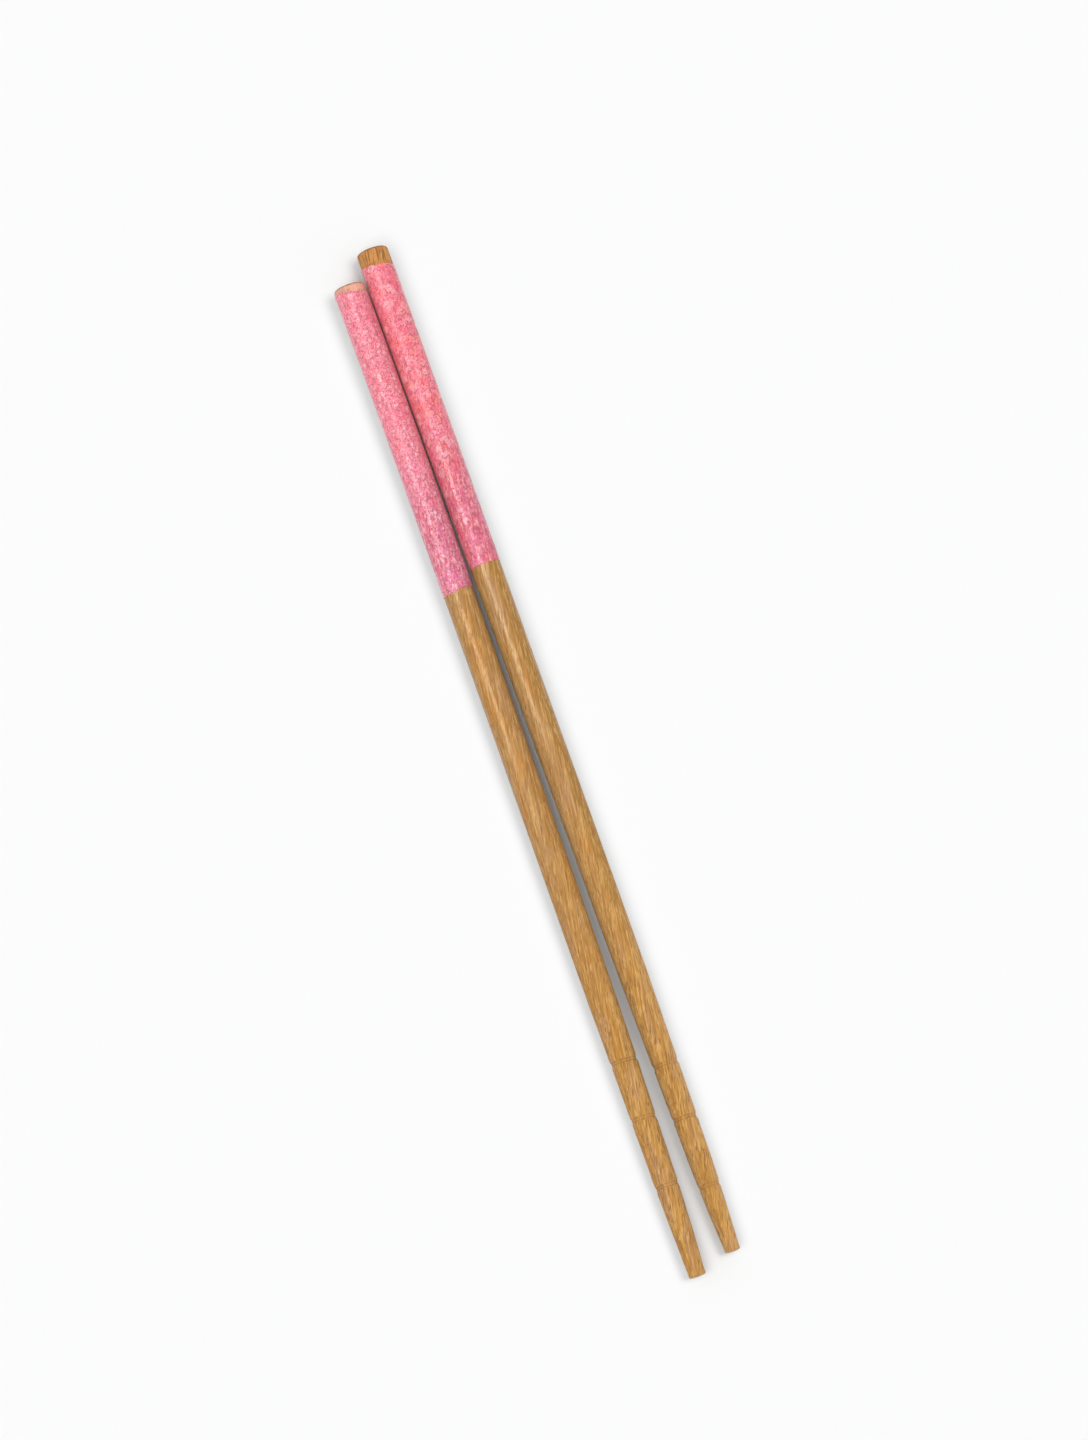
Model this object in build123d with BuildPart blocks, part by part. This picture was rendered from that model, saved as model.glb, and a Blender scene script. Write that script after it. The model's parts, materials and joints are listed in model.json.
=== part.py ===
# A pair of round wooden chopsticks lying side by side, each with a thin decorated film sleeve on its handle.
# Butts point to +Y and tips to -Y, the sticks rest on Z = 0, and the origin is under the middle of the pair.
import os
from math import atan2, cos, degrees, radians, sin, tan

from build123d import *

# Turned profile, shared by both sticks
butt_diameter = 6.8
butt_edge_radius = 0.6
shoulder_diameter = 6.1
shoulder_to_tip = 60.0
neck_diameter = 5.1
neck_to_tip = 24.0
tip_edge_bevel = 0.2

# Length and tip of each stick
left_length = 223.0
right_length = 226.5
left_tip_diameter = 3.6
right_tip_diameter = 3.2

# Ring grooves that keep food from slipping, placed by their distance back from the tip
groove_width = 1.5
groove_depth = 0.2
left_grooves = (47.0, 34.4, 19.5)
right_grooves = (41.1, 29.2, 14.2)

# Film sleeves, a hair off the wood: where each starts from the butt, and how far that edge is out of square
film_thickness = 0.1
film_clearance = 0.02
film_length = 69.1
left_film_start = 1.7
right_film_start = 3.9
left_film_slant_deg = 11.0
right_film_slant_deg = 8.0

# How the pair lies
butt_offset = 6.0
pair_clearance = 0.15
splay_deg = 0.35

# The faster taper from shoulder to neck
taper_slope = (shoulder_diameter - neck_diameter) / 2 / (shoulder_to_tip - neck_to_tip)


def handle_radius(length, from_butt):
    """Radius of the slow taper from butt to shoulder, at a distance from the butt."""
    taper_share = from_butt / (length - shoulder_to_tip)
    return (butt_diameter + (shoulder_diameter - butt_diameter) * taper_share) / 2


def plain_radius(length, tip_diameter, from_butt):
    """Radius of a stick without its grooves and eased ends, at a distance from the butt.

    Below the neck the nose is a parabola that leaves the faster taper in line with it.
    """
    if from_butt < length - shoulder_to_tip:
        return handle_radius(length, from_butt)
    past_neck = from_butt - (length - neck_to_tip)
    nose_bend = (neck_diameter - tip_diameter) / 2 - taper_slope * neck_to_tip
    bend = nose_bend * (max(past_neck, 0) / neck_to_tip) ** 2
    return neck_diameter / 2 - taper_slope * past_neck - bend


def lying_plane(side, butt_y, length, film_start):
    """Plane through a stick's axis: local X runs from butt to tip and local Y points up.

    The stick lies on the far edge of its film and on its shoulder, so its axis dips towards the tip.
    """
    film_end = film_start + film_length
    film_end_radius = handle_radius(length, film_end) + film_clearance + film_thickness
    dip = atan2(film_end_radius - shoulder_diameter / 2, length - shoulder_to_tip - film_end)
    butt_height = film_end_radius * cos(dip) + film_end * sin(dip)
    butt_x = side * (butt_diameter / 2 + film_clearance + film_thickness + pair_clearance / 2)
    level = Plane(origin=(butt_x, butt_y, butt_height), x_dir=(0, -1, 0), z_dir=(-1, 0, 0))
    return level.rotated((degrees(dip), 0, side * splay_deg / 2))


def profile_stretch(length, tip_diameter, start, end, sink):
    """One stretch of a stick's profile: exact on the tapers and the nose, sunk in the middle for a groove."""
    first = plain_radius(length, tip_diameter, start)
    last = plain_radius(length, tip_diameter, end)
    middle = (start + end) / 2
    pull = 2 * plain_radius(length, tip_diameter, middle) - (first + last) / 2 - 2 * sink
    return Bezier((start, first), (middle, pull), (end, last))


def turned_stick(lie, length, tip_diameter, grooves):
    """One stick: its half section with the ring grooves, turned about the axis, and both ends eased."""
    rings = [(length - back - groove_width / 2, length - back + groove_width / 2) for back in grooves]
    knots = [0, length - shoulder_to_tip, length - neck_to_tip, length]
    knots = [knot for knot in knots if not any(start < knot < end for start, end in rings)]
    knots = sorted(knots + [edge for ring in rings for edge in ring])
    axis = Axis(lie.origin, lie.x_dir)
    with BuildPart() as stick:
        with BuildSketch(lie):
            with BuildLine():
                for start, end in zip(knots, knots[1:]):
                    sink = groove_depth if (start, end) in rings else 0
                    profile_stretch(length, tip_diameter, start, end, sink)
                Polyline((length, tip_diameter / 2), (length, 0), (0, 0), (0, butt_diameter / 2))
            make_face()
        revolve(axis=axis)
        rims = stick.edges().filter_by(GeomType.CIRCLE).sort_by(axis)
        fillet(rims[0], radius=butt_edge_radius)
        chamfer(rims[-1], length=tip_edge_bevel)
    return stick


def film_sleeve(lie, length, film_start, slant_deg):
    """One sleeve: a thin conical tube on the handle, with its butt-side edge cut out of square."""
    film_end = film_start + film_length
    slant_reach = butt_diameter * tan(radians(abs(slant_deg)))
    blank_start = film_start - slant_reach
    inner_start = handle_radius(length, blank_start) + film_clearance
    inner_end = handle_radius(length, film_end) + film_clearance
    square_cut = Plane(lie.from_local_coords((film_start, 0, 0)), x_dir=lie.y_dir, z_dir=lie.x_dir)
    with BuildPart() as film:
        with BuildSketch(lie):
            with BuildLine():
                Polyline(
                    (blank_start, inner_start),
                    (film_end, inner_end),
                    (film_end, inner_end + film_thickness),
                    (blank_start, inner_start + film_thickness),
                    close=True,
                )
            make_face()
        revolve(axis=Axis(lie.origin, lie.x_dir))
        split(bisect_by=square_cut.rotated((0, 0, -slant_deg)), keep=Keep.TOP)
    return film


# Where the two sticks lie: the right butt stands beyond the left one, and the pair is centred along Y
right_butt_y = max(right_length, left_length + butt_offset) / 2
left_butt_y = right_butt_y - butt_offset
left_lie = lying_plane(-1, left_butt_y, left_length, left_film_start)
right_lie = lying_plane(1, right_butt_y, right_length, right_film_start)

left_stick = turned_stick(left_lie, left_length, left_tip_diameter, left_grooves)
left_stick.part.label = "left_stick"

right_stick = turned_stick(right_lie, right_length, right_tip_diameter, right_grooves)
right_stick.part.label = "right_stick"

left_wrap = film_sleeve(left_lie, left_length, left_film_start, left_film_slant_deg)
left_wrap.part.label = "left_wrap"

right_wrap = film_sleeve(right_lie, right_length, right_film_start, right_film_slant_deg)
right_wrap.part.label = "right_wrap"

os.makedirs("parts", exist_ok=True)
export_step(left_stick.part, "parts/left_stick.step")
export_step(right_stick.part, "parts/right_stick.step")
export_step(left_wrap.part, "parts/left_wrap.step")
export_step(right_wrap.part, "parts/right_wrap.step")
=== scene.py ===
import json
import math

import bpy
import numpy as np
from mathutils import Matrix, Vector


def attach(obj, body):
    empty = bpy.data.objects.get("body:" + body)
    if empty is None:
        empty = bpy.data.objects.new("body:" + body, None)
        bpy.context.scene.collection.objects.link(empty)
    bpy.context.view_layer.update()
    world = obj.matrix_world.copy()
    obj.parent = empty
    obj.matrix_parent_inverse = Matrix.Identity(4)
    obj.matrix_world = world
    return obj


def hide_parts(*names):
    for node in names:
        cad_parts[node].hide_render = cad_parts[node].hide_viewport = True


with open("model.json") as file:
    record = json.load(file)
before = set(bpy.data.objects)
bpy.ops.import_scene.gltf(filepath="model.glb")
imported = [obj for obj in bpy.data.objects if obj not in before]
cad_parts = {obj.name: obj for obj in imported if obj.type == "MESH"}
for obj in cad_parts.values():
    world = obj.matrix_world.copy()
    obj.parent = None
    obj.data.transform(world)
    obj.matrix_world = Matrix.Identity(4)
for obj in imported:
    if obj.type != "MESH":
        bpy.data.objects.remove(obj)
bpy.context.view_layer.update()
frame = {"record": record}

# Sizes of the turned sticks and their film sleeves, in millimetres
BUTT_RADIUS = 3.4
BUTT_ROUND = 0.6
SHOULDER_RADIUS = 3.05
SHOULDER_TO_TIP = 60.0
NECK_RADIUS = 2.55
NECK_TO_TIP = 24.0
TIP_ROUND = 0.22
GROOVE_WIDTH = 1.5
GROOVE_DEPTH = 0.2
FILM_WALL = 0.1
FILM_GAP = 0.02
FILM_LENGTH = 69.1

# Where the sticks differ. Grooves count from the tip and film_start from the butt. The film's butt-side edge
# is slant degrees out of square and its flakes are flake wide. Halfway along, the stick is bent to the right
# by bow.
STICKS = {
    "left": dict(length=223.0, tip=1.8, grooves=(47.0, 34.4, 19.5), bow=0.4, seed=11,
                 film_start=1.7, slant=11.0, flake=0.62),
    "right": dict(length=226.5, tip=1.6, grooves=(41.1, 29.2, 14.2), bow=0.0, seed=23,
                  film_start=3.9, slant=8.0, flake=1.0),
}

# Fine irregularities, in millimetres: sanding dents, wavering grooves, ragged film edges and film relief
HANDLE_DENT = 0.012
TIP_BROAD_DENT = 0.05
TIP_NARROW_DENT = 0.045
GROOVE_SLOW_WAVER = 0.10
GROOVE_QUICK_WAVER = 0.05
BUTT_EDGE_WAVE = 0.05
BUTT_EDGE_STEP = 0.09
FAR_EDGE_WAVE = 0.02
FAR_EDGE_STEP = 0.04
FAR_EDGE_SETBACK = 0.3
FLAKE_RELIEF = 0.026
SLOW_RELIEF = 0.008
RIM_RELIEF = 0.03
DEEPEST_RELIEF = 0.085
WRINKLE_DEPTH = 0.028
WRINKLE_WIDTH = 0.11
WRINKLES_FROM_END = (1.0, 1.7, 2.3)

# Mesh points round a stick and their angles from underneath, distances between cross sections, rows of points
AROUND = 144
TURN = np.arange(AROUND) / AROUND * 2 * np.pi
BODY_STEP = 0.75
TIP_STEP = 0.3
GROOVE_ROWS = 19
ROUNDING_ROWS = 7
BUTT_FACE_ROWS = 5
TIP_FACE_ROWS = 4
FILM_OUTER_ROWS = 440
FILM_INNER_ROWS = 60

# Colours of the film's print, of its painted highlight streaks and of its painted shadow lines. Each pair runs
# from deep to pale.
PRINT = {
    "chips": ((0.86, 0.165, 0.22), (1.0, 0.35, 0.44)),
    "small_flakes": ((0.80, 0.125, 0.19), (1.0, 0.37, 0.46)),
    "large_flakes": ((1.0, 0.34, 0.40), (1.0, 0.60, 0.64)),
    "warm_flakes": ((0.93, 0.145, 0.125), (1.0, 0.34, 0.28)),
    "bright_chip": (0.96, 0.18, 0.32),
    "rosy_patch": (0.98, 0.20, 0.20),
    "pale_grain": (1.0, 0.50, 0.56),
    "deep_grain": (0.66, 0.105, 0.165),
    "low_part": (0.84, 0.90, 0.95),
    "painted_highlight_streak": (1.0, 0.54, 0.60),
    "deep_streak": (0.60, 0.105, 0.19),
    "crimson": (0.78, 0.09, 0.17),
    "magenta": (0.80, 0.17, 0.35),
    "warmth": (1.0, 0.89, 0.87),
    "dark_print_and_painted_shadow": (0.36, 0.065, 0.105),
}

# Colours of the wood, and of the painted shade and painted light on its flanks. Each pair runs from the handle
# to the tip.
WOOD = {
    "ground": ((0.452, 0.230, 0.072), (0.52, 0.254, 0.052)),
    "light_fibre": ((0.62, 0.355, 0.135), (0.68, 0.37, 0.105)),
    "dark_fibre": (0.33, 0.15, 0.038),
    "band": (0.39, 0.178, 0.045),
    "amber": (0.53, 0.222, 0.038),
    "dusty": (0.47, 0.25, 0.12),
    "painted_shade_flank": (0.35, 0.172, 0.034),
    "painted_light_flank": (0.61, 0.35, 0.135),
    "ray": (0.74, 0.45, 0.17),
    "pores_and_painted_shade": (0.235, 0.098, 0.026),
}


def smooth_step(x, low, high):
    """Rises from 0 at low to 1 at high along 3t^2 - 2t^3."""
    t = np.clip((x - low) / (high - low), 0.0, 1.0)
    return t * t * (3.0 - 2.0 * t)


def lattice(seed, along, turn, cells, blend=1.0):
    """Random heights from -1 to 1 on a lattice that closes round the stick.

    along counts lattice rows and turn is the angle. Between lattice points the heights cross over by a
    smooth step that takes the share blend of each cell, so a small share gives flat flakes with steep edges.
    """
    columns = turn / (2 * np.pi) * cells
    row, column = np.floor(along), np.floor(columns)
    f = smooth_step(along - row, 0.5 - blend / 2, 0.5 + blend / 2)
    g = smooth_step(columns - column, 0.5 - blend / 2, 0.5 + blend / 2)
    i = row.astype(int) - int(row.min())
    j = column.astype(int)
    table = np.random.default_rng(seed).uniform(-1.0, 1.0, (i.max() + 2, cells))
    near = table[i, j % cells] * (1 - g) + table[i, (j + 1) % cells] * g
    far = table[i + 1, j % cells] * (1 - g) + table[i + 1, (j + 1) % cells] * g
    return near * (1 - f) + far * f


def plain_radius(side, x):
    """Turned radius x mm from the butt.

    A slow straight taper runs to the shoulder and a faster one to the neck. The nose is a parabola.
    """
    length = STICKS[side]["length"]
    slope = (SHOULDER_RADIUS - NECK_RADIUS) / (SHOULDER_TO_TIP - NECK_TO_TIP)
    bend = NECK_RADIUS - STICKS[side]["tip"] - slope * NECK_TO_TIP
    handle = BUTT_RADIUS + (SHOULDER_RADIUS - BUTT_RADIUS) * x / (length - SHOULDER_TO_TIP)
    past = x - (length - NECK_TO_TIP)
    tip_zone = NECK_RADIUS - slope * past - bend * (np.maximum(past, 0.0) / NECK_TO_TIP) ** 2
    return np.where(x < length - SHOULDER_TO_TIP, handle, tip_zone)


def lie_of(side):
    """Butt centre in mm, and the directions from butt to tip, to the right and upwards, of one stick."""
    mount = next(m for m in frame["record"]["mounts"] if m["name"] == side + "_butt_face")
    along = -np.array(mount["axis"])
    along /= np.linalg.norm(along)
    right = np.cross((0.0, 0.0, 1.0), along)
    right /= np.linalg.norm(right)
    return np.array(mount["pos_m"]) * 1000.0, along, right, np.cross(along, right)


def laid(side, x, r, turn):
    """Points x mm along a stick and r mm off its axis, with the angle counted from underneath, in metres.

    The axis bends to the right by bow times 1 - u^4, where u runs from -1 at the butt to 1 at the tip.
    """
    butt, along, right, up = lie_of(side)
    bent = STICKS[side]["bow"] * (1 - (2 * x / STICKS[side]["length"] - 1) ** 4)
    out = np.sin(turn)[..., None] * right - np.cos(turn)[..., None] * up
    return (butt + x[..., None] * along + bent[..., None] * right + r[..., None] * out) / 1000.0


def mesh_piece(name, points, faces, uv, material, body_node):
    """A new piece that stands for a CAD node, from points, blocks of faces and a UV pair per face corner."""
    mesh = bpy.data.meshes.new(name)
    mesh.from_pydata(points.tolist(), [], [f for block in faces for f in block.tolist()])
    layer = mesh.uv_layers.new(name="lie")
    layer.data.foreach_set("uv", uv.astype(np.float32).ravel())
    mesh.polygons.foreach_set("use_smooth", np.ones(len(mesh.polygons), dtype=bool))
    mesh.materials.append(material)
    mesh.update()
    piece = bpy.data.objects.new(name, mesh)
    bpy.context.scene.collection.objects.link(piece)
    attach(piece, "root")
    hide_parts(body_node)
    return piece


def point_value(piece, name, values):
    """Keeps one number for each point of a piece, for its material."""
    layer = piece.data.attributes.new(name, "FLOAT", "POINT")
    layer.data.foreach_set("value", values.astype(np.float32))


def ring_quads(rows, closed_rows=False):
    """Quads of a grid that closes round the stick, as point numbers and as column numbers.

    The columns count on past the seam. Where closed_rows says so, the last row joins the first.
    """
    i = np.arange(rows if closed_rows else rows - 1)[:, None]
    j = np.arange(AROUND)[None, :]
    i2, j2 = (i + 1) % rows, (j + 1) % AROUND
    quads = np.stack([i * AROUND + j, i * AROUND + j2, i2 * AROUND + j2, i2 * AROUND + j], -1)
    columns = np.stack([j + 0 * i, j + 1 + 0 * i, j + 1 + 0 * i, j + 0 * i], -1)
    return quads.reshape(-1, 4), columns.reshape(-1, 4)


def lie_uv(columns, along):
    """UV pairs in mm: the way round the stick, at the butt's radius, and the way along it."""
    return np.stack([columns * (2 * np.pi * BUTT_RADIUS / AROUND), along], -1).reshape(-1, 2)


def stick_rows(length, grooves):
    """Distances of the cross sections: close at the tip and in the grooves, wider along the handle."""
    body = np.arange(BUTT_ROUND, length - SHOULDER_TO_TIP, BODY_STEP)
    tip_zone = np.arange(length - SHOULDER_TO_TIP, length - TIP_ROUND, TIP_STEP)
    over_groove = np.linspace(-0.62, 0.62, GROOVE_ROWS) * GROOVE_WIDTH
    rings = [length - back + over_groove for back in grooves]
    return np.unique(np.round(np.concatenate([body, tip_zone, *rings, [length - TIP_ROUND]]), 4))


def stick_section(side):
    """Half section of a stick, as distances and radii from the butt's face to the tip's.

    The plain radius runs between two quarter arcs, which ease the ends.
    """
    length = STICKS[side]["length"]
    x_body = stick_rows(length, STICKS[side]["grooves"])[1:-1]
    arc = np.linspace(0.0, np.pi / 2, ROUNDING_ROWS)
    butt_face = np.linspace(0.0, BUTT_RADIUS - BUTT_ROUND, BUTT_FACE_ROWS + 1)[1:]
    tip_face = np.linspace(STICKS[side]["tip"] - TIP_ROUND, 0.0, TIP_FACE_ROWS + 1)[:-1]
    x = np.concatenate([
        0 * butt_face, BUTT_ROUND * (1 - np.cos(arc)), x_body,
        length - TIP_ROUND * (1 - np.sin(arc)), 0 * tip_face + length])
    r = np.concatenate([
        butt_face, butt_face[-1] + BUTT_ROUND * np.sin(arc), plain_radius(side, x_body),
        tip_face[0] + TIP_ROUND * np.cos(arc), tip_face])
    apart = np.abs(np.diff(x)) + np.abs(np.diff(r)) > 1e-6
    keep = np.concatenate([[True], apart])
    return x[keep], r[keep]


def film_edge(side, turn):
    """Distance of the film's slanted butt-side edge from the butt: one sine wave round the stick."""
    reach = BUTT_RADIUS * math.tan(math.radians(STICKS[side]["slant"]))
    return STICKS[side]["film_start"] + reach * np.sin(turn)


def groove_cuts(side, x, turn):
    """How deep the ring grooves are, and how dark the painted shade lines in them.

    Across its width each groove is a parabola. Sine waves round the stick make its line and depth waver a
    little. Each flank has a dark line of painted shade, a bell curve.
    """
    size = STICKS[side]
    seed = size["seed"]
    depth, line = np.zeros_like(x), np.zeros_like(x)
    for k, back in enumerate(size["grooves"]):
        slow = GROOVE_SLOW_WAVER * np.sin(turn + 1.7 * k + seed)
        quick = GROOVE_QUICK_WAVER * np.sin(3 * turn + 2.9 * k)
        deepest = GROOVE_DEPTH * (0.8 + 0.2 * np.sin(2 * turn + 0.9 * k + seed))
        off = np.abs(x - (size["length"] - back) - (slow + quick)) / (GROOVE_WIDTH / 2)
        depth += deepest * np.clip(1 - off ** 2, 0.0, 1.0)
        line += np.exp(-((off - 0.36) / 0.2) ** 2)
    return depth, line


def sanding(side, x, turn):
    """How deep the unevenness of hand-held sanding is: broad and narrow random dents that grow to the tip."""
    length, seed = STICKS[side]["length"], STICKS[side]["seed"]
    near_tip = smooth_step(x, length - 75.0, length - 50.0)
    broad = 0.5 + 0.5 * lattice(seed, x / 5.0, turn, 9)
    narrow = 0.5 + 0.5 * lattice(seed + 1, x / 2.1, turn, 13)
    on_side = smooth_step(x, 0.0, 1.5) * (1 - smooth_step(x, length - 1.2, length - 0.2))
    broad_dent = (HANDLE_DENT + TIP_BROAD_DENT * near_tip) * broad
    return on_side * (broad_dent + TIP_NARROW_DENT * near_tip * narrow)


def edge_lines(side, x, r, turn):
    """How dark the butt's rim and the painted shadow line at the film's edge are: a flat-topped and a plain
    bell curve.
    """
    butt_face = BUTT_RADIUS - BUTT_ROUND
    rim = smooth_step(r, butt_face - 0.5, butt_face + 0.1)
    off_film = x - film_edge(side, turn) + 0.1
    return 1.8 * rim * np.exp(-(x / 0.42) ** 4) + np.exp(-(off_film / 0.3) ** 2)


def wooden_stick(side, material):
    """One stick: its half section carried round the axis, with a pole in the middle of each end.

    Grooves and sanding are taken off the plain radius, so nothing stands proud of it.
    """
    size = STICKS[side]
    length = size["length"]
    x_rows, r_rows = stick_section(side)
    x = np.repeat(x_rows[:, None], AROUND, 1)
    plain = np.repeat(r_rows[:, None], AROUND, 1)
    turn = np.repeat(TURN[None, :], len(x_rows), 0)
    # The dark lines are painted shade in the grooves and a painted shadow at the film's edge, with the butt's
    # dark rim
    depth, line = groove_cuts(side, x, turn)
    depth += sanding(side, x, turn)
    line += edge_lines(side, x, plain, turn)
    off_tip_face = plain > 0.9 * (size["tip"] - TIP_ROUND)
    ring = laid(side, x, plain - depth * off_tip_face, turn).reshape(-1, 3)
    poles = laid(side, np.array([0.0, length]), np.zeros(2), np.zeros(2))
    quads, columns = ring_quads(len(x_rows))
    j = np.arange(AROUND)
    last = (len(x_rows) - 1) * AROUND
    butt_fan = np.stack([np.full(AROUND, len(ring)), (j + 1) % AROUND, j], -1)
    tip_fan = np.stack([np.full(AROUND, len(ring) + 1), last + j, last + (j + 1) % AROUND], -1)
    along = np.concatenate([x.ravel(), [0.0, length]])
    butt_columns = np.stack([j + 0.5, j + 1, j], -1)
    tip_columns = np.stack([j + 0.5, j, j + 1], -1)
    uv = np.concatenate([
        lie_uv(columns, along[quads]),
        lie_uv(butt_columns, along[butt_fan]),
        lie_uv(tip_columns, along[tip_fan])])
    points, faces = np.concatenate([ring, poles]), [quads, butt_fan, tip_fan]
    piece = mesh_piece(side + "_wood", points, faces, uv, material, side + "_stick")
    under_film = smooth_step(along, size["film_start"] + 0.9, size["film_start"] + 1.5)
    point_value(piece, "bare_butt", 1 - under_film)
    point_value(piece, "dark_line", np.concatenate([line.ravel(), [0.0, 0.0]]))


def film_edges(side, turn):
    """Distances of a film's two ragged edges from the butt.

    Slow sine waves and random steps shorten the film. The left one's far edge also steps back on its right.
    """
    size = STICKS[side]
    seed = size["seed"]
    steps = [1 + lattice(seed + k, 0.0 * turn, turn, 34, 0.6) for k in (5, 6)]
    first = film_edge(side, turn) + BUTT_EDGE_WAVE * (1 + np.sin(3 * turn + seed)) + BUTT_EDGE_STEP * steps[0]
    last = size["film_start"] + FILM_LENGTH
    last = last - FAR_EDGE_WAVE * (1 + np.sin(2 * turn + seed)) - FAR_EDGE_STEP * steps[1]
    if side == "left":
        last = last - FAR_EDGE_SETBACK * smooth_step(np.sin(turn), -0.2, 0.05)
    return first, last


def film_relief(side, x, turn, first, last):
    """How far the film's outside is lowered: stepped flakes, slow random waves and thinned edges.

    The left film also has three fine wrinkles round its far end, each a bell curve along a wavy line.
    """
    flake, seed = STICKS[side]["flake"], STICKS[side]["seed"]
    cells = round(2 * math.pi * BUTT_RADIUS / flake)
    lean = 0.25 * np.sin(x / 9.0) + seed
    relief = FLAKE_RELIEF * (1 + lattice(seed, x / flake + lean, turn, cells, 0.4))
    relief += SLOW_RELIEF * (1 + lattice(seed + 1, x / 6.0, turn, 7))
    if side == "left":
        from_end = np.array(WRINKLES_FROM_END)[:, None, None]
        wrinkle = last[None] - from_end + 0.12 * np.sin(2 * turn + 1.0)[None]
        upper_right = smooth_step(np.sin(turn), -0.1, 0.35) * smooth_step(-np.cos(turn), -0.3, 0.2)
        relief += WRINKLE_DEPTH * np.exp(-((x[None] - wrinkle) / WRINKLE_WIDTH) ** 2).sum(0) * upper_right
    rim = np.exp(-(x - first) / 0.12) + np.exp(-(last - x) / 0.12)
    return np.minimum(relief + RIM_RELIEF * rim, DEEPEST_RELIEF)


def film_sleeve(side, material):
    """One sleeve: a thin closed shell carried round the handle.

    The outside runs from the butt-side edge to the far edge, with its rows closer at both, and the inside runs
    back. The relief only lowers the outside, so the sleeve keeps its full size.
    """
    outer = np.concatenate([[0.0, 0.0008], np.linspace(0.003, 0.997, FILM_OUTER_ROWS), [0.9992, 1.0]])
    inner = np.linspace(1.0, 0.0, FILM_INNER_ROWS)
    share = np.concatenate([outer, inner])[:, None]
    outside = np.concatenate([np.ones(len(outer)), np.zeros(len(inner))])[:, None]
    first, last = film_edges(side, TURN[None, :])
    x = first + (last - first) * share
    turn = np.repeat(TURN[None, :], len(share), 0)
    wall = FILM_WALL - film_relief(side, x, turn, first, last)
    r = plain_radius(side, x) + FILM_GAP + outside * wall
    points = laid(side, x, r, turn).reshape(-1, 3)
    quads, columns = ring_quads(len(share), closed_rows=True)
    uv = lie_uv(columns, x.ravel()[quads])
    mesh_piece(side + "_film", points, [quads], uv, material, side + "_wrap")


class Net:
    """A node tree with short calls: a value that is a socket is linked, any other is set on the input."""

    def __init__(self, tree):
        self.tree = tree

    def node(self, kind, values=None, **settings):
        made = self.tree.nodes.new(kind)
        for key, value in settings.items():
            setattr(made, key, value)
        self.fill(made, values or {})
        return made

    def fill(self, node, values):
        for key, value in values.items():
            self.feed(node.inputs[key], value)

    def feed(self, socket, value):
        if isinstance(value, bpy.types.NodeSocket):
            self.tree.links.new(value, socket)
        elif socket.type == "RGBA" and len(value) == 3:
            socket.default_value = (*value, 1.0)
        else:
            socket.default_value = value

    def math(self, operation, *values):
        return self.node("ShaderNodeMath", dict(enumerate(values)), operation=operation).outputs[0]

    def times(self, first, *others):
        for other in others:
            first = self.math("MULTIPLY", first, other)
        return first

    def line(self, value, slope, start):
        return self.math("MULTIPLY_ADD", value, slope, start)

    def less(self, first, second):
        return self.math("SUBTRACT", first, second)

    def larger(self, first, second):
        return self.math("MAXIMUM", first, second)

    def rise(self, value, low, high, start=0.0, end=1.0):
        values = {"Value": value, "From Min": low, "From Max": high, "To Min": start, "To Max": end}
        return self.node("ShaderNodeMapRange", values, interpolation_type="SMOOTHSTEP").outputs[0]

    def vector(self, operation, *values):
        return self.node("ShaderNodeVectorMath", dict(enumerate(values)), operation=operation).outputs[0]

    def scaled(self, place, factors):
        return self.vector("MULTIPLY", place, factors)

    def sized(self, place, factor):
        return self.node("ShaderNodeVectorMath", {0: place, "Scale": factor}, operation="SCALE").outputs[0]

    def turned(self, place, angle):
        values = {"Vector": place, "Angle": angle}
        return self.node("ShaderNodeVectorRotate", values, rotation_type="Z_AXIS").outputs[0]

    def split(self, place):
        return self.node("ShaderNodeSeparateXYZ", {0: place}).outputs

    def noise(self, place, factors, detail=2.0, roughness=0.5, offset=0.0):
        place = self.scaled(place, factors)
        if offset:
            place = self.vector("ADD", place, (offset, offset * 0.7, offset * 1.3))
        values = {"Vector": place, "Scale": 1.0, "Detail": detail, "Roughness": roughness}
        return self.node("ShaderNodeTexNoise", values, noise_dimensions="3D").outputs[0]

    def cells(self, place, scale, randomness, **settings):
        values = {"Vector": place, "Scale": scale, "Randomness": randomness}
        return self.node("ShaderNodeTexVoronoi", values, voronoi_dimensions="2D", **settings).outputs

    def mix(self, share, first, second, blend="MIX"):
        made = self.node("ShaderNodeMix", data_type="RGBA", blend_type=blend, clamp_factor=True)
        self.fill(made, {0: share, 6: first, 7: second})
        return made.outputs[2]


def shader_group(name, inputs, outputs):
    """An empty shader node group with named float, vector or colour sockets."""
    tree = bpy.data.node_groups.new(name, "ShaderNodeTree")
    kinds = {"float": "NodeSocketFloat", "vector": "NodeSocketVector", "colour": "NodeSocketColor"}
    for label, kind in inputs.items():
        tree.interface.new_socket(name=label, in_out="INPUT", socket_type=kinds[kind])
    for label, kind in outputs.items():
        tree.interface.new_socket(name=label, in_out="OUTPUT", socket_type=kinds[kind])
    net = Net(tree)
    return net, net.node("NodeGroupInput").outputs, net.node("NodeGroupOutput").inputs


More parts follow.
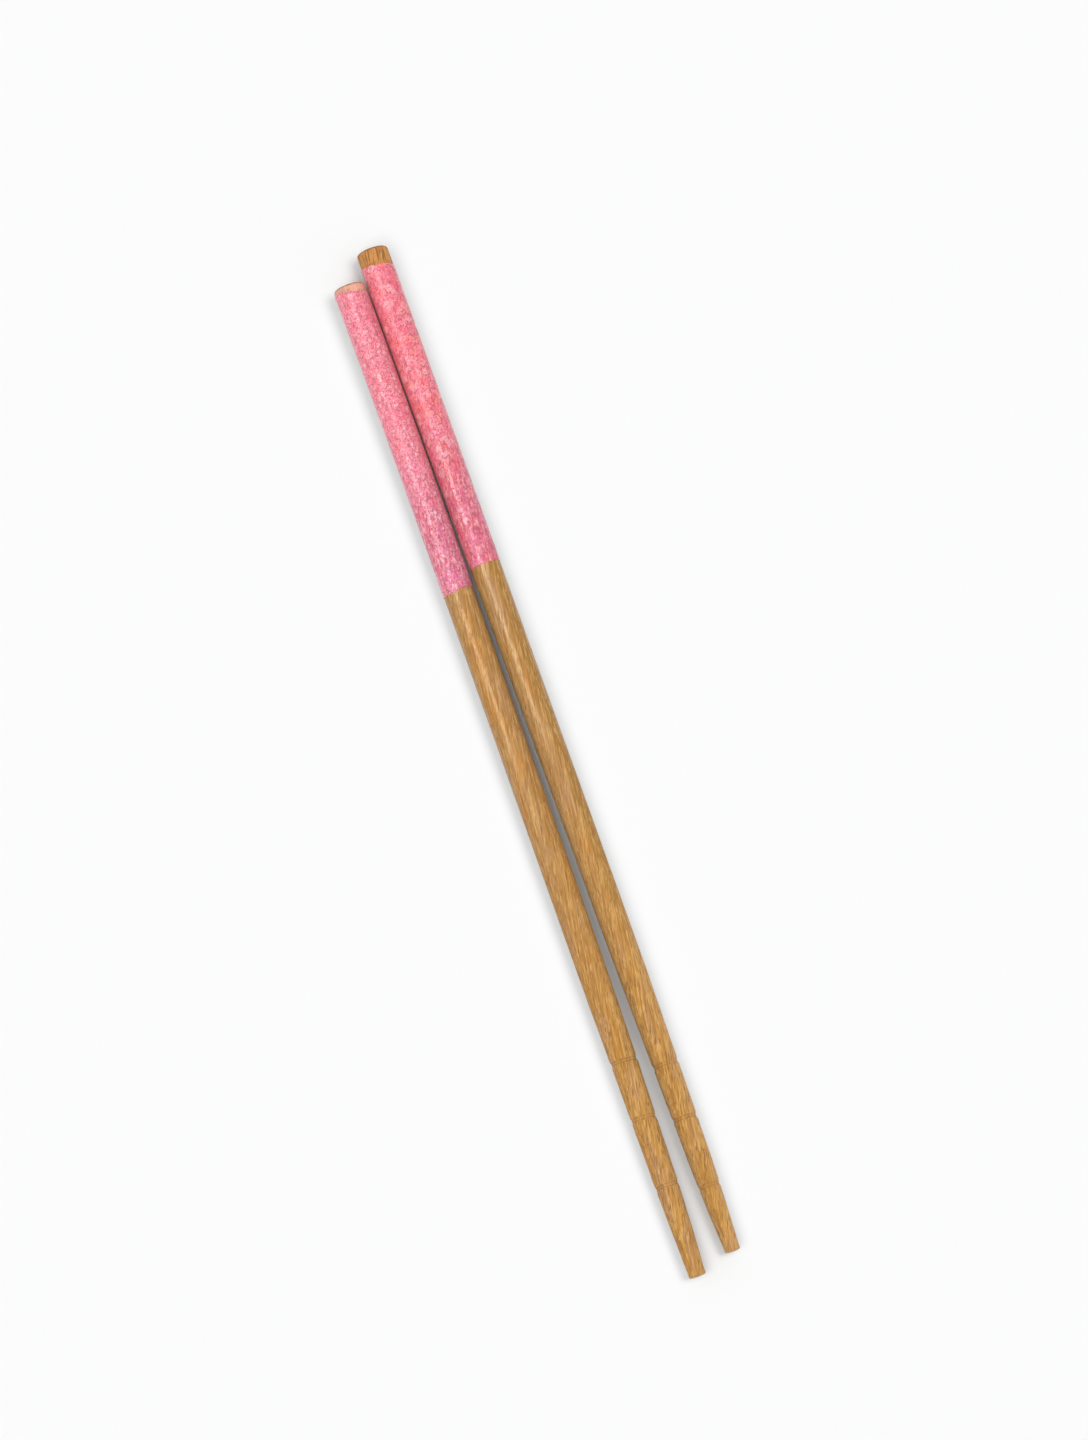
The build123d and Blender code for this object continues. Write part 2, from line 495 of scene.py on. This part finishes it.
def loose_flakes_group():
    """Squarish flakes strewn one to a cell, each with its own tilt, size and tone.

    A line of painted shadow runs along two sides. Fill is the share of cells that hold a flake.
    """
    net, given, out = shader_group(
        "loose_flakes",
        {"Place": "vector", "Size": "float", "Fill": "float", "Tilt": "float", "Seed": "float"},
        {"Mask": "float", "Tone": "float", "Line": "float"})
    spread = net.sized(given["Place"], net.math("DIVIDE", 1.0, given["Size"]))
    shift = {0: net.times(given["Seed"], 17.3), 1: net.times(given["Seed"], 9.7)}
    place = net.vector("ADD", spread, net.node("ShaderNodeCombineXYZ", shift).outputs[0])
    cell = net.cells(place, 1.0, 0.85)
    chance = net.split(cell["Color"])
    tilt = net.times(net.less(chance[0], 0.5), net.times(given["Tilt"], 2.0))
    local = net.split(net.turned(net.vector("SUBTRACT", place, cell["Position"]), tilt))
    across = net.math("DIVIDE", local[0], net.line(chance[1], 0.18, 0.25))
    along = net.math("DIVIDE", local[1], net.line(chance[2], 0.22, 0.25))
    reach = net.larger(net.math("ABSOLUTE", across), net.math("ABSOLUTE", along))
    drawn = net.math("FRACT", net.line(chance[1], 7.31, net.times(chance[2], 3.17)))
    held = net.math("LESS_THAN", drawn, given["Fill"])
    band = net.times(net.rise(reach, 0.94, 1.06), net.rise(reach, 1.26, 1.40, 1.0, 0.0))
    low_side = net.rise(net.less(along, across), 0.3, 1.0)
    tone = net.math("FRACT", net.line(chance[0], 5.7, net.times(chance[2], 9.1)))
    net.feed(out["Mask"], net.times(net.rise(reach, 0.92, 1.02, 1.0, 0.0), held))
    net.feed(out["Line"], net.times(band, low_side, held))
    net.feed(out["Tone"], tone)
    return net.tree


def flake_film_group(loose):
    """Pink flake film over a place in mm, across and along.

    Chips lie under three coats of loose flakes, and painted shadow lines along the flakes, cracks, dashes and
    specks lie on top. In the low part, towards the far end, the print is deeper and streaked, with pale
    streaks of painted highlight.
    """
    net, given, out = shader_group(
        "flake_film",
        {"Place": "vector", "Flake": "float", "Crack": "float", "Speck": "float", "Warm": "float"},
        {"Colour": "colour", "Height": "float", "Roughness": "float"})
    place = given["Place"]
    run = net.split(place)[1]
    low_part = net.rise(run, 32.0, 62.0)
    values = {"Vector": place, "Scale": 1.1, "Detail": 1.0}
    wander = net.node("ShaderNodeTexNoise", values, noise_dimensions="2D").outputs["Color"]
    drift = net.vector("SUBTRACT", wander, (0.5, 0.5, 0.5))
    bent = net.vector("ADD", place, net.scaled(drift, (0.3, 0.4, 0.0)))
    leaning = net.turned(bent, math.radians(16.0))
    fine = net.sized(leaning, net.math("DIVIDE", 1.5, given["Flake"]))

    def flakes(size, fill, tilt, seed):
        size = net.times(given["Flake"], size)
        values = {"Place": leaning, "Size": size, "Fill": fill, "Tilt": tilt, "Seed": seed}
        made = net.node("ShaderNodeGroup", values, node_tree=loose).outputs
        return made["Mask"], made["Tone"], made["Line"]

    # Chips and rosy patches
    tone = net.split(net.cells(fine, 1.0, 0.95, distance="CHEBYCHEV")["Color"])
    colour = net.mix(tone[0], *PRINT["chips"])
    colour = net.mix(net.rise(tone[1], 0.62, 0.80, 0.0, 0.55), colour, PRINT["bright_chip"])
    patch = net.noise(place, (0.28, 0.2, 0.0))
    rosy = net.times(net.rise(patch, 0.40, 0.62), net.line(given["Warm"], 0.5, 0.15))
    colour = net.mix(rosy, colour, PRINT["rosy_patch"])

    # Three coats of loose flakes
    mask, tint, line = flakes(size=1.25, fill=0.8, tilt=0.8, seed=1.0)
    colour = net.mix(net.times(mask, 0.65), colour, net.mix(tint, *PRINT["small_flakes"]))
    height = net.times(mask, net.line(tint, 0.5, 0.2))
    # Painted shadow: each coat's flakes get a dark line along two sides
    dark = net.times(line, 0.4)
    mask, tint, line = flakes(size=1.75, fill=0.36, tilt=1.2, seed=4.0)
    colour = net.mix(net.times(mask, 0.8), colour, net.mix(tint, *PRINT["large_flakes"]))
    height = net.line(mask, net.line(tint, 0.5, 0.2), height)
    dark = net.larger(net.times(dark, net.less(1.0, mask)), net.times(line, 0.6))
    mask, tint, _ = flakes(size=1.5, fill=0.32, tilt=1.5, seed=9.0)
    warm = net.times(mask, given["Warm"], net.rise(run, 8.0, 20.0, 0.15, 1.0))
    colour = net.mix(warm, colour, net.mix(tint, *PRINT["warm_flakes"]))
    grain = net.noise(leaning, (3.8, 2.3, 0.0), detail=1.0, offset=3.0)
    colour = net.mix(net.rise(grain, 0.55, 0.69, 0.0, 0.7), colour, PRINT["pale_grain"])
    colour = net.mix(net.rise(grain, 0.45, 0.31, 0.0, 0.7), colour, PRINT["deep_grain"])

    # Where the dark cracks, dashes and specks are
    near = net.cells(fine, 0.62, 1.0, distance="CHEBYCHEV", feature="F1")["Distance"]
    far = net.cells(fine, 0.62, 1.0, distance="CHEBYCHEV", feature="F2")["Distance"]
    where = net.noise(place, (1.5, 0.8, 0.0), roughness=0.6, offset=5.0)
    crack = net.times(net.rise(net.less(far, near), 0.03, 0.15, 1.0, 0.0), net.rise(where, 0.48, 0.58))
    dashes = net.noise(leaning, (2.0, 0.6, 0.0), roughness=0.55, offset=7.0)
    dash = net.times(net.rise(dashes, 0.595, 0.655), net.line(low_part, 0.45, 0.7))
    dark = net.larger(dark, net.times(net.larger(crack, dash), given["Crack"]))
    spots = net.cells(place, 1.25, 1.0)
    chosen = net.math("GREATER_THAN", net.split(spots["Color"])[0], 0.4)
    speck = net.times(net.rise(spots["Distance"], 0.08, 0.22, 1.0, 0.0), chosen)
    dark = net.larger(dark, net.times(speck, given["Speck"]))

    # The deeper, streaked low part, with pale streaks of painted highlight
    colour = net.mix(low_part, colour, PRINT["low_part"], "MULTIPLY")
    streak = net.noise(bent, (2.6, 0.42, 0.0), roughness=0.6, offset=2.0)
    streaked = net.line(low_part, 0.6, 0.1)
    # Painted highlight: pale streaks and dashes strewn over the low part
    painted_light = net.times(net.rise(streak, 0.54, 0.66), streaked)
    glint = net.times(net.rise(dashes, 0.40, 0.33), net.line(low_part, 0.55, 0.4))
    colour = net.mix(net.larger(painted_light, glint), colour, PRINT["painted_highlight_streak"])
    colour = net.mix(net.times(net.rise(streak, 0.46, 0.36), streaked), colour, PRINT["deep_streak"])
    blush = net.noise(bent, (0.55, 0.28, 0.0), roughness=0.6, offset=12.0)
    crimson = net.times(net.rise(blush, 0.54, 0.68), net.line(low_part, 0.4, 0.25))
    colour = net.mix(crimson, colour, PRINT["crimson"])
    magenta = net.times(net.rise(blush, 0.46, 0.34), net.times(low_part, 0.5))
    colour = net.mix(magenta, colour, PRINT["magenta"])

    # Warmer where there are many warm flakes, then the dark print and the flakes' painted shadow lines on top
    colour = net.mix(net.rise(given["Warm"], 0.3, 0.8), colour, net.scaled(colour, PRINT["warmth"]))
    colour = net.mix(dark, colour, PRINT["dark_print_and_painted_shadow"])
    height = net.less(height, net.times(dark, 0.9))
    height = net.line(net.less(streak, 0.5), net.times(low_part, 0.8), height)
    rough = net.line(net.math("ADD", dark, tone[1]), 0.14, 0.3)
    net.feed(out["Colour"], colour)
    net.feed(out["Height"], height)
    net.feed(out["Roughness"], net.line(low_part, -0.1, rough))
    return net.tree


def finished_material(name):
    """A material with one Principled shader, and its net."""
    material = bpy.data.materials.new(name)
    material.use_nodes = True
    net = Net(material.node_tree)
    net.tree.nodes.clear()
    shader = net.node("ShaderNodeBsdfPrincipled")
    net.feed(net.node("ShaderNodeOutputMaterial").inputs["Surface"], shader.outputs[0])
    return material, net, shader


def facing_right(net, lie):
    """How far a point faces right, from -1 to 1: the sine of its angle round the stick."""
    return net.math("SINE", net.math("DIVIDE", net.split(lie)[0], BUTT_RADIUS))


def plain_in_bounces(net, lie, inward, colour, dimmed):
    """The colour itself, but mostly a plain grey in the light that the piece throws on to its surroundings.

    The side that faces the other stick throws its own colour, dimmed. inward is 1 where that is the right
    side, else -1.
    """
    facing = net.rise(net.times(facing_right(net, lie), inward), -0.4, 0.4)
    bounce = net.times(net.node("ShaderNodeLightPath").outputs["Is Diffuse Ray"], 0.95)
    return net.mix(bounce, colour, net.mix(facing, (0.6, 0.6, 0.6), net.scaled(colour, dimmed)))


def film_material(name, group, inward, flake, crack, speck, warm):
    """Semi-gloss flake film, with painted light on its left and painted shade on its right.

    flake is the flakes' size in mm, and crack, speck and warm are shares of cracks, specks and warm flakes.
    """
    material, net, shader = finished_material(name)
    lie = net.node("ShaderNodeUVMap", uv_map="lie").outputs[0]
    values = {"Place": lie, "Flake": flake, "Crack": crack, "Speck": speck, "Warm": warm}
    film = net.node("ShaderNodeGroup", values, node_tree=group).outputs
    # Painted light and shade: the print is up to a tenth paler on the left flank and darker on the right
    colour = net.sized(film["Colour"], net.line(facing_right(net, lie), -0.1, 1.0))
    bump = net.node("ShaderNodeBump", {"Height": film["Height"], "Strength": 0.5, "Distance": 0.00003})
    net.fill(shader, {
        "Base Color": plain_in_bounces(net, lie, inward, colour, dimmed=(0.65, 0.04, 0.06)),
        "Roughness": film["Roughness"],
        "Normal": bump.outputs[0],
        "Specular IOR Level": 0.45,
        "Specular Tint": (1.0, 0.82, 0.86),
        "Sheen Weight": 0.25,
        "Sheen Roughness": 0.45,
        "Sheen Tint": (1.0, 0.72, 0.76),
    })
    return material


def wood_material(name, inward, right_flank_shade, painted_light, butt_colour, butt_lines):
    """Lacquered straight-grained wood, with fibres, slow bands and short strokes a little off the axis.

    The colour turns from khaki gold at the handle to orange at the tip, where the lacquer is thin and the
    pores open. The bare end at the butt has a colour of its own, without lacquer, and dark lines of the
    strength butt_lines. right_flank_shade is how far painted shade turns the right flank dark olive, and
    painted_light is how far painted light turns the flank that faces the other stick pale. inward is 1
    where that is the right flank, else -1. Painted light makes the tip's right flank paler too.
    """
    material, net, shader = finished_material(name)
    place = net.sized(net.node("ShaderNodeTexCoord").outputs["Object"], 1000.0)
    lie = net.node("ShaderNodeUVMap", uv_map="lie").outputs[0]
    run = net.split(lie)[1]
    bare = net.node("ShaderNodeAttribute", attribute_name="bare_butt").outputs["Fac"]
    # dark_line holds painted shade in the grooves, a painted shadow at the film's edge, and the butt's dark
    # rim
    edge = net.node("ShaderNodeAttribute", attribute_name="dark_line").outputs["Fac"]
    to_tip = net.rise(run, 115.0, 185.0)
    dull = net.rise(run, 98.0, 138.0)

    # Grain of several widths, each much longer than wide
    grain = net.turned(place, math.radians(8.0))
    slanted = net.turned(place, math.radians(14.0))
    bands = net.noise(grain, (0.62, 0.018, 0.62), detail=3.0, roughness=0.55)
    fibres = net.noise(grain, (2.5, 0.10, 2.5), detail=4.0, roughness=0.65, offset=3.0)
    strokes = net.noise(slanted, (3.5, 0.3, 3.5), offset=8.0)
    rays = net.noise(slanted, (3.2, 0.28, 3.2), offset=15.0)
    ripple = net.noise(grain, (1.6, 0.07, 1.6), detail=3.0, roughness=0.6, offset=21.0)
    tint = net.noise(grain, (0.34, 0.06, 0.34), offset=30.0)

    # Ground colour, slow bands, and painted shade and painted light on the flanks
    colour = net.mix(to_tip, *WOOD["ground"])
    colour = net.mix(net.rise(bands, 0.36, 0.64, 0.5, 0.0), colour, WOOD["band"])
    colour = net.mix(net.rise(tint, 0.54, 0.66, 0.0, 0.75), colour, WOOD["amber"])
    colour = net.mix(net.rise(tint, 0.46, 0.34, 0.0, 0.7), colour, WOOD["dusty"])
    rightward = facing_right(net, lie)
    # Painted shade: the right flank darker and olive, fading out before the tip
    flank = net.times(net.rise(rightward, 0.1, 0.45, 0.0, right_flank_shade), net.rise(run, 150.0, 176.0, 1.0, 0.0))
    colour = net.mix(flank, colour, WOOD["painted_shade_flank"])
    # Painted light: the flank that faces the other stick, and the tip's right flank, paler
    inner = net.rise(net.times(rightward, inward), 0.45, 0.95, 0.0, painted_light)
    tip_painted_light = net.times(net.rise(rightward, 0.1, 0.6, 0.0, 0.55), to_tip)
    colour = net.mix(net.larger(inner, tip_painted_light), colour, WOOD["painted_light_flank"])

    # Fibres, the bare butt, rays, pores, the butt's dark rim, and painted shade in the grooves and at the
    # film's edge
    light = net.mix(to_tip, *WOOD["light_fibre"])
    colour = net.mix(net.rise(fibres, 0.49, 0.66, 0.0, 0.85), colour, light)
    colour = net.mix(net.rise(fibres, 0.50, 0.34, 0.0, 0.75), colour, WOOD["dark_fibre"])
    colour = net.mix(net.times(bare, 0.8), colour, butt_colour)
    ray = net.times(net.rise(rays, 0.56, 0.68), net.line(to_tip, 0.25, 0.45))
    colour = net.mix(ray, colour, WOOD["ray"])
    pores_and_painted_shade = net.times(net.rise(strokes, 0.56, 0.68), net.line(to_tip, 0.2, 0.5))
    # Painted shade: the dark lines of the grooves and of the film's edge join the pores
    pores_and_painted_shade = net.larger(pores_and_painted_shade, net.times(edge, net.rise(rays, 0.40, 0.60, 0.2, 0.7)))
    pores_and_painted_shade = net.larger(pores_and_painted_shade, net.times(bare, net.rise(fibres, 0.52, 0.40, 0.0, butt_lines)))
    colour = net.mix(pores_and_painted_shade, colour, WOOD["pores_and_painted_shade"])

    # Fine relief, and the lacquer's gloss
    height = net.less(net.line(fibres, 0.5, ripple), net.times(pores_and_painted_shade, 0.4))
    bump = net.node("ShaderNodeBump", {"Height": height, "Strength": 0.8, "Distance": 0.0001})
    rough = net.line(net.larger(dull, bare), 0.4, net.line(fibres, 0.2, 0.14))
    net.fill(shader, {
        "Base Color": plain_in_bounces(net, lie, inward, colour, dimmed=(0.3, 0.3, 0.02)),
        "Roughness": rough,
        "Normal": bump.outputs[0],
        "Specular IOR Level": 0.38,
        "Specular Tint": (1.0, 0.84, 0.6),
    })
    return material


def studio_floor():
    """A pale sweep on which the pair lies, one large square at the height of the sticks' underside."""
    reach = 1.5
    corners = np.array([[-1, -1, 0], [1, -1, 0], [1, 1, 0], [-1, 1, 0]]) * reach
    mesh = bpy.data.meshes.new("floor")
    mesh.from_pydata(corners.tolist(), [], [(0, 1, 2, 3)])
    material, net, shader = finished_material("pale_floor")
    net.fill(shader, {"Base Color": (0.892, 0.894, 0.894), "Roughness": 1.0, "Specular IOR Level": 0.0})
    mesh.materials.append(material)
    floor = bpy.data.objects.new("floor", mesh)
    bpy.context.scene.collection.objects.link(floor)


def soft_lamp(name, lean_right, lean_back, spread, share, glint):
    """A far round softbox: its lean off the vertical to the right and backwards, and its width, in degrees.

    share is its light on the floor, where one is full light. A lamp for glint gives nothing but highlights,
    and the others give none.
    """
    lamp = bpy.data.lights.new(name, "SUN")
    lamp.angle = math.radians(spread)
    rightward, backward = math.tan(math.radians(lean_right)), math.tan(math.radians(lean_back))
    towards = Vector((rightward, backward, 1.0)).normalized()
    lamp.energy = share * math.pi / towards.z
    holder = bpy.data.objects.new(name, lamp)
    holder.rotation_mode = "QUATERNION"
    holder.rotation_quaternion = towards.to_track_quat("Z", "Y")
    holder.location = towards
    holder.visible_glossy = glint
    holder.visible_diffuse = not glint
    bpy.context.scene.collection.objects.link(holder)


def studio_light(ambient):
    """Even surroundings that give the share ambient of the light. Camera and reflections see them white."""
    world = bpy.data.worlds.new("white_room")
    world.use_nodes = True
    net = Net(world.node_tree)
    net.tree.nodes.clear()
    path = net.node("ShaderNodeLightPath").outputs
    seen = net.larger(path["Is Camera Ray"], path["Is Glossy Ray"])
    seen = net.larger(seen, path["Is Transmission Ray"])
    strength = net.line(seen, 1.0 - ambient, ambient)
    room = net.node("ShaderNodeBackground", {"Color": (1.0, 1.0, 1.0), "Strength": strength})
    net.feed(net.node("ShaderNodeOutputWorld").inputs["Surface"], room.outputs[0])
    bpy.context.scene.world = world


def photo_camera(azimuth, elevation, distance, frame_height, target):
    """A camera that looks at target from the given angles. The picture's long side covers frame_height."""
    a, e = math.radians(azimuth), math.radians(elevation)
    back = Vector((math.sin(a) * math.cos(e), -math.cos(a) * math.cos(e), math.sin(e)))
    right = Vector((math.cos(a), math.sin(a), 0.0))
    up = back.cross(right)
    lens = bpy.data.cameras.new("camera")
    lens.sensor_width = 36.0
    lens.lens = lens.sensor_width * distance / frame_height
    lens.clip_start = 0.01
    camera = bpy.data.objects.new("camera", lens)
    turn = Matrix((right, up, back)).transposed()
    camera.matrix_world = Matrix.Translation(Vector(target) + back * distance) @ turn.to_4x4()
    bpy.context.scene.collection.objects.link(camera)
    bpy.context.scene.camera = camera


woods = {
    "left": wood_material(
        "peach_ended_wood", inward=1.0, right_flank_shade=0.0, painted_light=0.3,
        butt_colour=(1.0, 0.49, 0.40), butt_lines=0.2),
    "right": wood_material(
        "bare_ended_wood", inward=-1.0, right_flank_shade=0.85, painted_light=0.9,
        butt_colour=(0.69, 0.29, 0.085), butt_lines=0.9),
}
flake_film = flake_film_group(loose_flakes_group())
films = {
    "left": film_material(
        "fine_flake_film", flake_film, inward=1.0, flake=0.66, crack=0.7, speck=0.5, warm=0.3),
    "right": film_material(
        "broad_flake_film", flake_film, inward=-1.0, flake=1.15, crack=0.7, speck=0.3, warm=0.8),
}
for side in STICKS:
    wooden_stick(side, woods[side])
    film_sleeve(side, films[side])

studio_floor()
studio_light(ambient=0.41)
soft_lamp("right_softbox", lean_right=23.0, lean_back=-4.0, spread=28.0, share=0.33, glint=False)
soft_lamp("left_softbox", lean_right=-20.0, lean_back=-14.0, spread=44.0, share=0.35, glint=False)
soft_lamp("small_softbox", lean_right=-25.0, lean_back=11.8, spread=18.0, share=0.36, glint=True)
photo_camera(
    azimuth=-19.274, elevation=77.5, distance=1.4, frame_height=0.30187, target=(0.00475, 0.00693, 0.0))
bpy.context.scene.view_settings.view_transform = "Standard"
